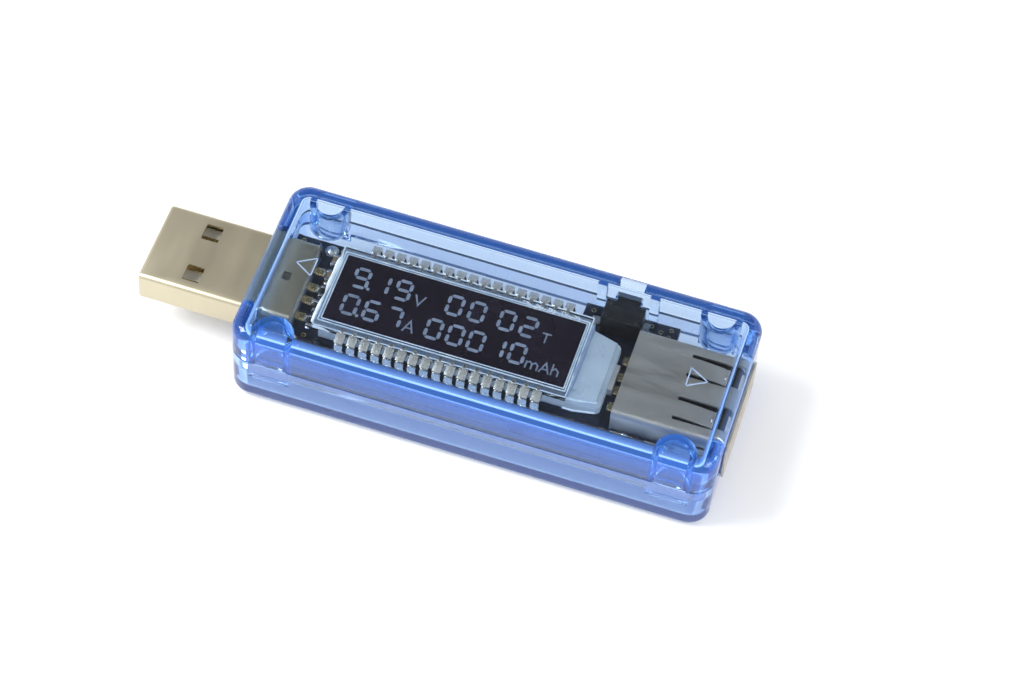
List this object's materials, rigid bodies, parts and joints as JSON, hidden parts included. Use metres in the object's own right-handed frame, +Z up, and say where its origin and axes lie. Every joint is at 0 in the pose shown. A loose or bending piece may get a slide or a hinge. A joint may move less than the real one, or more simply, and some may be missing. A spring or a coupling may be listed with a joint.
{
  "type": "usb power meter",
  "caption": "Translucent blue inline USB power meter with a plug at one end, a socket at the other, a pin-mounted segment display between them and a reset button in the side.",
  "frame": {"origin": "centre of the case's flat underside", "axes": "+X along the case towards the socket, -X towards the plug's tip, +Y out of the side with the reset button, +Z up through the display face"},
  "size_m": [0.0757, 0.025, 0.0125],
  "materials": {
    "blue_plastic": "translucent blue moulded polycarbonate, glossy",
    "board_resin": "glass-epoxy board under dark blue-black solder mask",
    "nickel_steel": "nickel-plated stamped steel, slightly warm",
    "tinned_steel": "tin-plated stamped steel",
    "white_plastic": "moulded white insulator",
    "contact_gold": "gold-flashed copper alloy",
    "display_film": "dark purple-black polarizing film",
    "clear_glass": "clear display glass with ground edges",
    "guide_acrylic": "frosted clear light guide",
    "reflector_film": "white reflecting film",
    "pin_tin": "tinned stamped pins",
    "black_plastic": "black moulded nylon",
    "spring_steel": "thin stainless spring disc",
    "chip_resin": "black epoxy moulding",
    "ceramic_tan": "tan multilayer ceramic"
  },
  "bodies": {
    "meter": {"upper_case": "blue_plastic", "lower_case": "blue_plastic", "circuit_board": "board_resin", "plug_shell": "nickel_steel", "plug_insulator": "white_plastic", "socket_shell": "tinned_steel", "socket_insulator": "black_plastic", "front_polarizer": "display_film", "rear_polarizer": "display_film", "display_front_glass": "clear_glass", "display_rear_glass": "clear_glass", "light_guide": "guide_acrylic", "backlight_reflector": "reflector_film", "backlight_lamp": "white_plastic", "near_pin_row": "pin_tin", "far_pin_row": "pin_tin", "switch_housing": "black_plastic", "snap_dome": "spring_steel", "switch_terminal_left": "pin_tin", "switch_terminal_right": "pin_tin", "meter_chip": "chip_resin", "memory_chip": "chip_resin", "voltage_regulator": "chip_resin", "resin_blob": "chip_resin", "shunt_resistor": "chip_resin", "input_capacitor": "ceramic_tan", "filter_capacitor": "ceramic_tan", "sense_resistor_1": "chip_resin", "sense_resistor_2": "chip_resin", "sense_resistor_3": "chip_resin", "plug_contact_1": "contact_gold", "socket_contact_1": "contact_gold", "plug_contact_2": "contact_gold", "socket_contact_2": "contact_gold", "plug_contact_3": "contact_gold", "socket_contact_3": "contact_gold", "plug_contact_4": "contact_gold", "socket_contact_4": "contact_gold"},
    "button": {"reset_button": "black_plastic"}
  },
  "joints": [
    {"name": "reset_press", "type": "slide", "parent": "meter", "child": "button", "axis": [0, -1, 0], "range_m": [0, 0.00025], "stiffness_N_per_m": 200}
  ]
}
